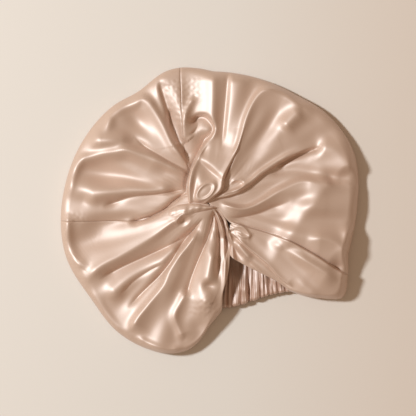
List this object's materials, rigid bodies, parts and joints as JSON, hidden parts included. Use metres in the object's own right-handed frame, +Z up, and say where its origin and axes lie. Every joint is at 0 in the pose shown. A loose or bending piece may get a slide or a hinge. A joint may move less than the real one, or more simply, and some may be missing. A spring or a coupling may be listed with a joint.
{
  "type": "sleep bonnet",
  "caption": "Satin sleep bonnet with a twisted front, lying on its back, its folds fanning out from the twist and its nape ruched on elastic.",
  "frame": {"origin": "middle of the part's box, on the surface that it lies on", "axes": "+Z up out of that surface, +Y towards the top of the crown, +X to the right as seen from above with the twist on top"},
  "size_m": [0.3326, 0.3196, 0.0375],
  "materials": {
    "satin": "champagne rose satin, soft gloss",
    "satin_ruche": "the same satin, ruched on elastic",
    "satin_back": "the same satin, smooth"
  },
  "bodies": {
    "root": {"crown_left": "satin", "crown_right": "satin", "front_band_left": "satin", "front_band_right": "satin", "twist_loop": "satin", "knot_collar": "satin", "nape_casing": "satin_ruche", "back_panel": "satin_back"}
  },
  "joints": []
}
